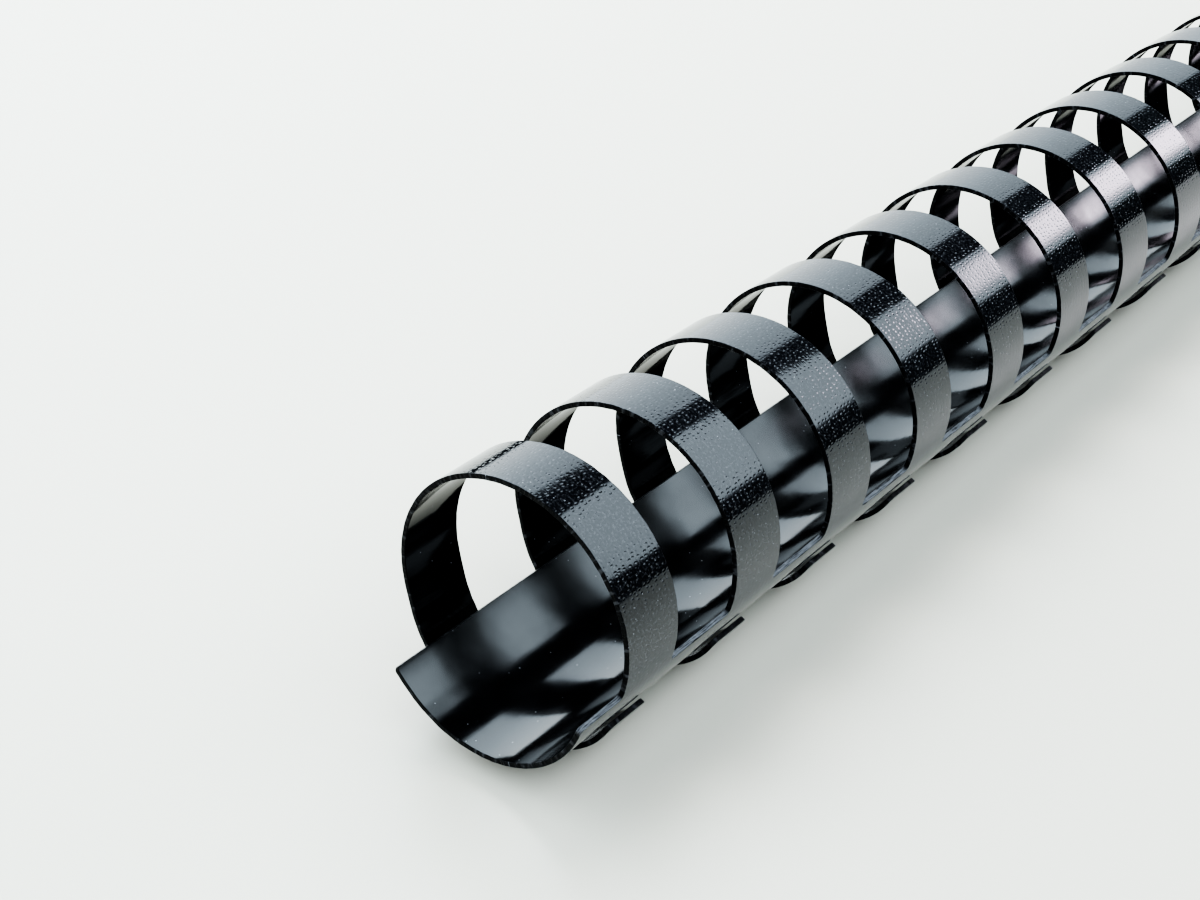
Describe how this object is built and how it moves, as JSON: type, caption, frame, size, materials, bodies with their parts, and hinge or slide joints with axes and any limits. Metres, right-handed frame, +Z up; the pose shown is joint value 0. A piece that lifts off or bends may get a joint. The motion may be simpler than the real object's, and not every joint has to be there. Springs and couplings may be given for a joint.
{
  "type": "plastic binding comb",
  "caption": "Curled plastic binding comb for loose-leaf documents: a spine with a row of ring fingers that flex open to take punched pages and spring shut.",
  "frame": {"origin": "middle of the comb's length, midway across the rings, at the level that the rings rest on", "axes": "+X along the comb, +Y towards the side where the fingers come down and tuck under the spine, +Z up"},
  "size_m": [0.2736, 0.023, 0.0241],
  "materials": {
    "pvc": "glossy black PVC sheet with a fine embossed grain on its outer face and a smooth inner face"
  },
  "bodies": {
    "spine": {"spine": "pvc"},
    "ring_01_crown": {"ring_01_crown": "pvc"},
    "ring_01_side": {"ring_01_side": "pvc"},
    "ring_01_tip": {"ring_01_tip": "pvc"},
    "ring_02_crown": {"ring_02_crown": "pvc"},
    "ring_02_side": {"ring_02_side": "pvc"},
    "ring_02_tip": {"ring_02_tip": "pvc"},
    "ring_03_crown": {"ring_03_crown": "pvc"},
    "ring_03_side": {"ring_03_side": "pvc"},
    "ring_03_tip": {"ring_03_tip": "pvc"},
    "ring_04_crown": {"ring_04_crown": "pvc"},
    "ring_04_side": {"ring_04_side": "pvc"},
    "ring_04_tip": {"ring_04_tip": "pvc"},
    "ring_05_crown": {"ring_05_crown": "pvc"},
    "ring_05_side": {"ring_05_side": "pvc"},
    "ring_05_tip": {"ring_05_tip": "pvc"},
    "ring_06_crown": {"ring_06_crown": "pvc"},
    "ring_06_side": {"ring_06_side": "pvc"},
    "ring_06_tip": {"ring_06_tip": "pvc"},
    "ring_07_crown": {"ring_07_crown": "pvc"},
    "ring_07_side": {"ring_07_side": "pvc"},
    "ring_07_tip": {"ring_07_tip": "pvc"},
    "ring_08_crown": {"ring_08_crown": "pvc"},
    "ring_08_side": {"ring_08_side": "pvc"},
    "ring_08_tip": {"ring_08_tip": "pvc"},
    "ring_09_crown": {"ring_09_crown": "pvc"},
    "ring_09_side": {"ring_09_side": "pvc"},
    "ring_09_tip": {"ring_09_tip": "pvc"},
    "ring_10_crown": {"ring_10_crown": "pvc"},
    "ring_10_side": {"ring_10_side": "pvc"},
    "ring_10_tip": {"ring_10_tip": "pvc"},
    "ring_11_crown": {"ring_11_crown": "pvc"},
    "ring_11_side": {"ring_11_side": "pvc"},
    "ring_11_tip": {"ring_11_tip": "pvc"},
    "ring_12_crown": {"ring_12_crown": "pvc"},
    "ring_12_side": {"ring_12_side": "pvc"},
    "ring_12_tip": {"ring_12_tip": "pvc"},
    "ring_13_crown": {"ring_13_crown": "pvc"},
    "ring_13_side": {"ring_13_side": "pvc"},
    "ring_13_tip": {"ring_13_tip": "pvc"},
    "ring_14_crown": {"ring_14_crown": "pvc"},
    "ring_14_side": {"ring_14_side": "pvc"},
    "ring_14_tip": {"ring_14_tip": "pvc"},
    "ring_15_crown": {"ring_15_crown": "pvc"},
    "ring_15_side": {"ring_15_side": "pvc"},
    "ring_15_tip": {"ring_15_tip": "pvc"},
    "ring_16_crown": {"ring_16_crown": "pvc"},
    "ring_16_side": {"ring_16_side": "pvc"},
    "ring_16_tip": {"ring_16_tip": "pvc"},
    "ring_17_crown": {"ring_17_crown": "pvc"},
    "ring_17_side": {"ring_17_side": "pvc"},
    "ring_17_tip": {"ring_17_tip": "pvc"},
    "ring_18_crown": {"ring_18_crown": "pvc"},
    "ring_18_side": {"ring_18_side": "pvc"},
    "ring_18_tip": {"ring_18_tip": "pvc"},
    "ring_19_crown": {"ring_19_crown": "pvc"},
    "ring_19_side": {"ring_19_side": "pvc"},
    "ring_19_tip": {"ring_19_tip": "pvc"}
  },
  "joints": [
    {"name": "ring_01_open", "type": "hinge", "parent": "spine", "child": "ring_01_crown", "pos_m": [-0.12859, -0.00986, 0.01849], "axis": [1, 0, 0], "range_deg": [0, 30], "stiffness_Nm_per_rad": 0.007},
    {"name": "ring_01_side_flex", "type": "hinge", "parent": "ring_01_crown", "child": "ring_01_side", "pos_m": [-0.12859, 0.00676, 0.02187], "axis": [1, 0, 0], "range_deg": [0, 30], "stiffness_Nm_per_rad": 0.007},
    {"name": "ring_01_tip_flex", "type": "hinge", "parent": "ring_01_side", "child": "ring_01_tip", "pos_m": [-0.12859, 0.00945, 0.00495], "axis": [1, 0, 0], "range_deg": [0, 30], "stiffness_Nm_per_rad": 0.007},
    {"name": "ring_02_open", "type": "hinge", "parent": "spine", "child": "ring_02_crown", "pos_m": [-0.1143, -0.00986, 0.01849], "axis": [1, 0, 0], "range_deg": [0, 30], "stiffness_Nm_per_rad": 0.007},
    {"name": "ring_02_side_flex", "type": "hinge", "parent": "ring_02_crown", "child": "ring_02_side", "pos_m": [-0.1143, 0.00676, 0.02187], "axis": [1, 0, 0], "range_deg": [0, 30], "stiffness_Nm_per_rad": 0.007},
    {"name": "ring_02_tip_flex", "type": "hinge", "parent": "ring_02_side", "child": "ring_02_tip", "pos_m": [-0.1143, 0.00945, 0.00495], "axis": [1, 0, 0], "range_deg": [0, 30], "stiffness_Nm_per_rad": 0.007},
    {"name": "ring_03_open", "type": "hinge", "parent": "spine", "child": "ring_03_crown", "pos_m": [-0.10001, -0.00986, 0.01849], "axis": [1, 0, 0], "range_deg": [0, 30], "stiffness_Nm_per_rad": 0.007},
    {"name": "ring_03_side_flex", "type": "hinge", "parent": "ring_03_crown", "child": "ring_03_side", "pos_m": [-0.10001, 0.00676, 0.02187], "axis": [1, 0, 0], "range_deg": [0, 30], "stiffness_Nm_per_rad": 0.007},
    {"name": "ring_03_tip_flex", "type": "hinge", "parent": "ring_03_side", "child": "ring_03_tip", "pos_m": [-0.10001, 0.00945, 0.00495], "axis": [1, 0, 0], "range_deg": [0, 30], "stiffness_Nm_per_rad": 0.007},
    {"name": "ring_04_open", "type": "hinge", "parent": "spine", "child": "ring_04_crown", "pos_m": [-0.08572, -0.00986, 0.01849], "axis": [1, 0, 0], "range_deg": [0, 30], "stiffness_Nm_per_rad": 0.007},
    {"name": "ring_04_side_flex", "type": "hinge", "parent": "ring_04_crown", "child": "ring_04_side", "pos_m": [-0.08572, 0.00676, 0.02187], "axis": [1, 0, 0], "range_deg": [0, 30], "stiffness_Nm_per_rad": 0.007},
    {"name": "ring_04_tip_flex", "type": "hinge", "parent": "ring_04_side", "child": "ring_04_tip", "pos_m": [-0.08572, 0.00945, 0.00495], "axis": [1, 0, 0], "range_deg": [0, 30], "stiffness_Nm_per_rad": 0.007},
    {"name": "ring_05_open", "type": "hinge", "parent": "spine", "child": "ring_05_crown", "pos_m": [-0.07144, -0.00986, 0.01849], "axis": [1, 0, 0], "range_deg": [0, 30], "stiffness_Nm_per_rad": 0.007},
    {"name": "ring_05_side_flex", "type": "hinge", "parent": "ring_05_crown", "child": "ring_05_side", "pos_m": [-0.07144, 0.00676, 0.02187], "axis": [1, 0, 0], "range_deg": [0, 30], "stiffness_Nm_per_rad": 0.007},
    {"name": "ring_05_tip_flex", "type": "hinge", "parent": "ring_05_side", "child": "ring_05_tip", "pos_m": [-0.07144, 0.00945, 0.00495], "axis": [1, 0, 0], "range_deg": [0, 30], "stiffness_Nm_per_rad": 0.007},
    {"name": "ring_06_open", "type": "hinge", "parent": "spine", "child": "ring_06_crown", "pos_m": [-0.05715, -0.00986, 0.01849], "axis": [1, 0, 0], "range_deg": [0, 30], "stiffness_Nm_per_rad": 0.007},
    {"name": "ring_06_side_flex", "type": "hinge", "parent": "ring_06_crown", "child": "ring_06_side", "pos_m": [-0.05715, 0.00676, 0.02187], "axis": [1, 0, 0], "range_deg": [0, 30], "stiffness_Nm_per_rad": 0.007},
    {"name": "ring_06_tip_flex", "type": "hinge", "parent": "ring_06_side", "child": "ring_06_tip", "pos_m": [-0.05715, 0.00945, 0.00495], "axis": [1, 0, 0], "range_deg": [0, 30], "stiffness_Nm_per_rad": 0.007},
    {"name": "ring_07_open", "type": "hinge", "parent": "spine", "child": "ring_07_crown", "pos_m": [-0.04286, -0.00986, 0.01849], "axis": [1, 0, 0], "range_deg": [0, 30], "stiffness_Nm_per_rad": 0.007},
    {"name": "ring_07_side_flex", "type": "hinge", "parent": "ring_07_crown", "child": "ring_07_side", "pos_m": [-0.04286, 0.00676, 0.02187], "axis": [1, 0, 0], "range_deg": [0, 30], "stiffness_Nm_per_rad": 0.007},
    {"name": "ring_07_tip_flex", "type": "hinge", "parent": "ring_07_side", "child": "ring_07_tip", "pos_m": [-0.04286, 0.00945, 0.00495], "axis": [1, 0, 0], "range_deg": [0, 30], "stiffness_Nm_per_rad": 0.007},
    {"name": "ring_08_open", "type": "hinge", "parent": "spine", "child": "ring_08_crown", "pos_m": [-0.02857, -0.00986, 0.01849], "axis": [1, 0, 0], "range_deg": [0, 30], "stiffness_Nm_per_rad": 0.007},
    {"name": "ring_08_side_flex", "type": "hinge", "parent": "ring_08_crown", "child": "ring_08_side", "pos_m": [-0.02857, 0.00676, 0.02187], "axis": [1, 0, 0], "range_deg": [0, 30], "stiffness_Nm_per_rad": 0.007},
    {"name": "ring_08_tip_flex", "type": "hinge", "parent": "ring_08_side", "child": "ring_08_tip", "pos_m": [-0.02857, 0.00945, 0.00495], "axis": [1, 0, 0], "range_deg": [0, 30], "stiffness_Nm_per_rad": 0.007},
    {"name": "ring_09_open", "type": "hinge", "parent": "spine", "child": "ring_09_crown", "pos_m": [-0.01429, -0.00986, 0.01849], "axis": [1, 0, 0], "range_deg": [0, 30], "stiffness_Nm_per_rad": 0.007},
    {"name": "ring_09_side_flex", "type": "hinge", "parent": "ring_09_crown", "child": "ring_09_side", "pos_m": [-0.01429, 0.00676, 0.02187], "axis": [1, 0, 0], "range_deg": [0, 30], "stiffness_Nm_per_rad": 0.007},
    {"name": "ring_09_tip_flex", "type": "hinge", "parent": "ring_09_side", "child": "ring_09_tip", "pos_m": [-0.01429, 0.00945, 0.00495], "axis": [1, 0, 0], "range_deg": [0, 30], "stiffness_Nm_per_rad": 0.007},
    {"name": "ring_10_open", "type": "hinge", "parent": "spine", "child": "ring_10_crown", "pos_m": [0, -0.00986, 0.01849], "axis": [1, 0, 0], "range_deg": [0, 30], "stiffness_Nm_per_rad": 0.007},
    {"name": "ring_10_side_flex", "type": "hinge", "parent": "ring_10_crown", "child": "ring_10_side", "pos_m": [0, 0.00676, 0.02187], "axis": [1, 0, 0], "range_deg": [0, 30], "stiffness_Nm_per_rad": 0.007},
    {"name": "ring_10_tip_flex", "type": "hinge", "parent": "ring_10_side", "child": "ring_10_tip", "pos_m": [0, 0.00945, 0.00495], "axis": [1, 0, 0], "range_deg": [0, 30], "stiffness_Nm_per_rad": 0.007},
    {"name": "ring_11_open", "type": "hinge", "parent": "spine", "child": "ring_11_crown", "pos_m": [0.01429, -0.00986, 0.01849], "axis": [1, 0, 0], "range_deg": [0, 30], "stiffness_Nm_per_rad": 0.007},
    {"name": "ring_11_side_flex", "type": "hinge", "parent": "ring_11_crown", "child": "ring_11_side", "pos_m": [0.01429, 0.00676, 0.02187], "axis": [1, 0, 0], "range_deg": [0, 30], "stiffness_Nm_per_rad": 0.007},
    {"name": "ring_11_tip_flex", "type": "hinge", "parent": "ring_11_side", "child": "ring_11_tip", "pos_m": [0.01429, 0.00945, 0.00495], "axis": [1, 0, 0], "range_deg": [0, 30], "stiffness_Nm_per_rad": 0.007},
    {"name": "ring_12_open", "type": "hinge", "parent": "spine", "child": "ring_12_crown", "pos_m": [0.02857, -0.00986, 0.01849], "axis": [1, 0, 0], "range_deg": [0, 30], "stiffness_Nm_per_rad": 0.007},
    {"name": "ring_12_side_flex", "type": "hinge", "parent": "ring_12_crown", "child": "ring_12_side", "pos_m": [0.02857, 0.00676, 0.02187], "axis": [1, 0, 0], "range_deg": [0, 30], "stiffness_Nm_per_rad": 0.007},
    {"name": "ring_12_tip_flex", "type": "hinge", "parent": "ring_12_side", "child": "ring_12_tip", "pos_m": [0.02857, 0.00945, 0.00495], "axis": [1, 0, 0], "range_deg": [0, 30], "stiffness_Nm_per_rad": 0.007},
    {"name": "ring_13_open", "type": "hinge", "parent": "spine", "child": "ring_13_crown", "pos_m": [0.04286, -0.00986, 0.01849], "axis": [1, 0, 0], "range_deg": [0, 30], "stiffness_Nm_per_rad": 0.007},
    {"name": "ring_13_side_flex", "type": "hinge", "parent": "ring_13_crown", "child": "ring_13_side", "pos_m": [0.04286, 0.00676, 0.02187], "axis": [1, 0, 0], "range_deg": [0, 30], "stiffness_Nm_per_rad": 0.007},
    {"name": "ring_13_tip_flex", "type": "hinge", "parent": "ring_13_side", "child": "ring_13_tip", "pos_m": [0.04286, 0.00945, 0.00495], "axis": [1, 0, 0], "range_deg": [0, 30], "stiffness_Nm_per_rad": 0.007},
    {"name": "ring_14_open", "type": "hinge", "parent": "spine", "child": "ring_14_crown", "pos_m": [0.05715, -0.00986, 0.01849], "axis": [1, 0, 0], "range_deg": [0, 30], "stiffness_Nm_per_rad": 0.007},
    {"name": "ring_14_side_flex", "type": "hinge", "parent": "ring_14_crown", "child": "ring_14_side", "pos_m": [0.05715, 0.00676, 0.02187], "axis": [1, 0, 0], "range_deg": [0, 30], "stiffness_Nm_per_rad": 0.007},
    {"name": "ring_14_tip_flex", "type": "hinge", "parent": "ring_14_side", "child": "ring_14_tip", "pos_m": [0.05715, 0.00945, 0.00495], "axis": [1, 0, 0], "range_deg": [0, 30], "stiffness_Nm_per_rad": 0.007},
    {"name": "ring_15_open", "type": "hinge", "parent": "spine", "child": "ring_15_crown", "pos_m": [0.07144, -0.00986, 0.01849], "axis": [1, 0, 0], "range_deg": [0, 30], "stiffness_Nm_per_rad": 0.007},
    {"name": "ring_15_side_flex", "type": "hinge", "parent": "ring_15_crown", "child": "ring_15_side", "pos_m": [0.07144, 0.00676, 0.02187], "axis": [1, 0, 0], "range_deg": [0, 30], "stiffness_Nm_per_rad": 0.007},
    {"name": "ring_15_tip_flex", "type": "hinge", "parent": "ring_15_side", "child": "ring_15_tip", "pos_m": [0.07144, 0.00945, 0.00495], "axis": [1, 0, 0], "range_deg": [0, 30], "stiffness_Nm_per_rad": 0.007},
    {"name": "ring_16_open", "type": "hinge", "parent": "spine", "child": "ring_16_crown", "pos_m": [0.08572, -0.00986, 0.01849], "axis": [1, 0, 0], "range_deg": [0, 30], "stiffness_Nm_per_rad": 0.007},
    {"name": "ring_16_side_flex", "type": "hinge", "parent": "ring_16_crown", "child": "ring_16_side", "pos_m": [0.08572, 0.00676, 0.02187], "axis": [1, 0, 0], "range_deg": [0, 30], "stiffness_Nm_per_rad": 0.007},
    {"name": "ring_16_tip_flex", "type": "hinge", "parent": "ring_16_side", "child": "ring_16_tip", "pos_m": [0.08572, 0.00945, 0.00495], "axis": [1, 0, 0], "range_deg": [0, 30], "stiffness_Nm_per_rad": 0.007},
    {"name": "ring_17_open", "type": "hinge", "parent": "spine", "child": "ring_17_crown", "pos_m": [0.10001, -0.00986, 0.01849], "axis": [1, 0, 0], "range_deg": [0, 30], "stiffness_Nm_per_rad": 0.007},
    {"name": "ring_17_side_flex", "type": "hinge", "parent": "ring_17_crown", "child": "ring_17_side", "pos_m": [0.10001, 0.00676, 0.02187], "axis": [1, 0, 0], "range_deg": [0, 30], "stiffness_Nm_per_rad": 0.007},
    {"name": "ring_17_tip_flex", "type": "hinge", "parent": "ring_17_side", "child": "ring_17_tip", "pos_m": [0.10001, 0.00945, 0.00495], "axis": [1, 0, 0], "range_deg": [0, 30], "stiffness_Nm_per_rad": 0.007},
    {"name": "ring_18_open", "type": "hinge", "parent": "spine", "child": "ring_18_crown", "pos_m": [0.1143, -0.00986, 0.01849], "axis": [1, 0, 0], "range_deg": [0, 30], "stiffness_Nm_per_rad": 0.007},
    {"name": "ring_18_side_flex", "type": "hinge", "parent": "ring_18_crown", "child": "ring_18_side", "pos_m": [0.1143, 0.00676, 0.02187], "axis": [1, 0, 0], "range_deg": [0, 30], "stiffness_Nm_per_rad": 0.007},
    {"name": "ring_18_tip_flex", "type": "hinge", "parent": "ring_18_side", "child": "ring_18_tip", "pos_m": [0.1143, 0.00945, 0.00495], "axis": [1, 0, 0], "range_deg": [0, 30], "stiffness_Nm_per_rad": 0.007},
    {"name": "ring_19_open", "type": "hinge", "parent": "spine", "child": "ring_19_crown", "pos_m": [0.12859, -0.00986, 0.01849], "axis": [1, 0, 0], "range_deg": [0, 30], "stiffness_Nm_per_rad": 0.007},
    {"name": "ring_19_side_flex", "type": "hinge", "parent": "ring_19_crown", "child": "ring_19_side", "pos_m": [0.12859, 0.00676, 0.02187], "axis": [1, 0, 0], "range_deg": [0, 30], "stiffness_Nm_per_rad": 0.007},
    {"name": "ring_19_tip_flex", "type": "hinge", "parent": "ring_19_side", "child": "ring_19_tip", "pos_m": [0.12859, 0.00945, 0.00495], "axis": [1, 0, 0], "range_deg": [0, 30], "stiffness_Nm_per_rad": 0.007}
  ],
  "couplings": [
    {"joint": "ring_01_side_flex", "follows": "ring_01_open", "ratio": 1},
    {"joint": "ring_01_tip_flex", "follows": "ring_01_open", "ratio": 1},
    {"joint": "ring_02_side_flex", "follows": "ring_02_open", "ratio": 1},
    {"joint": "ring_02_tip_flex", "follows": "ring_02_open", "ratio": 1},
    {"joint": "ring_03_side_flex", "follows": "ring_03_open", "ratio": 1},
    {"joint": "ring_03_tip_flex", "follows": "ring_03_open", "ratio": 1},
    {"joint": "ring_04_side_flex", "follows": "ring_04_open", "ratio": 1},
    {"joint": "ring_04_tip_flex", "follows": "ring_04_open", "ratio": 1},
    {"joint": "ring_05_side_flex", "follows": "ring_05_open", "ratio": 1},
    {"joint": "ring_05_tip_flex", "follows": "ring_05_open", "ratio": 1},
    {"joint": "ring_06_side_flex", "follows": "ring_06_open", "ratio": 1},
    {"joint": "ring_06_tip_flex", "follows": "ring_06_open", "ratio": 1},
    {"joint": "ring_07_side_flex", "follows": "ring_07_open", "ratio": 1},
    {"joint": "ring_07_tip_flex", "follows": "ring_07_open", "ratio": 1},
    {"joint": "ring_08_side_flex", "follows": "ring_08_open", "ratio": 1},
    {"joint": "ring_08_tip_flex", "follows": "ring_08_open", "ratio": 1},
    {"joint": "ring_09_side_flex", "follows": "ring_09_open", "ratio": 1},
    {"joint": "ring_09_tip_flex", "follows": "ring_09_open", "ratio": 1},
    {"joint": "ring_10_side_flex", "follows": "ring_10_open", "ratio": 1},
    {"joint": "ring_10_tip_flex", "follows": "ring_10_open", "ratio": 1},
    {"joint": "ring_11_side_flex", "follows": "ring_11_open", "ratio": 1},
    {"joint": "ring_11_tip_flex", "follows": "ring_11_open", "ratio": 1},
    {"joint": "ring_12_side_flex", "follows": "ring_12_open", "ratio": 1},
    {"joint": "ring_12_tip_flex", "follows": "ring_12_open", "ratio": 1},
    {"joint": "ring_13_side_flex", "follows": "ring_13_open", "ratio": 1},
    {"joint": "ring_13_tip_flex", "follows": "ring_13_open", "ratio": 1},
    {"joint": "ring_14_side_flex", "follows": "ring_14_open", "ratio": 1},
    {"joint": "ring_14_tip_flex", "follows": "ring_14_open", "ratio": 1},
    {"joint": "ring_15_side_flex", "follows": "ring_15_open", "ratio": 1},
    {"joint": "ring_15_tip_flex", "follows": "ring_15_open", "ratio": 1},
    {"joint": "ring_16_side_flex", "follows": "ring_16_open", "ratio": 1},
    {"joint": "ring_16_tip_flex", "follows": "ring_16_open", "ratio": 1},
    {"joint": "ring_17_side_flex", "follows": "ring_17_open", "ratio": 1},
    {"joint": "ring_17_tip_flex", "follows": "ring_17_open", "ratio": 1},
    {"joint": "ring_18_side_flex", "follows": "ring_18_open", "ratio": 1},
    {"joint": "ring_18_tip_flex", "follows": "ring_18_open", "ratio": 1},
    {"joint": "ring_19_side_flex", "follows": "ring_19_open", "ratio": 1},
    {"joint": "ring_19_tip_flex", "follows": "ring_19_open", "ratio": 1}
  ]
}
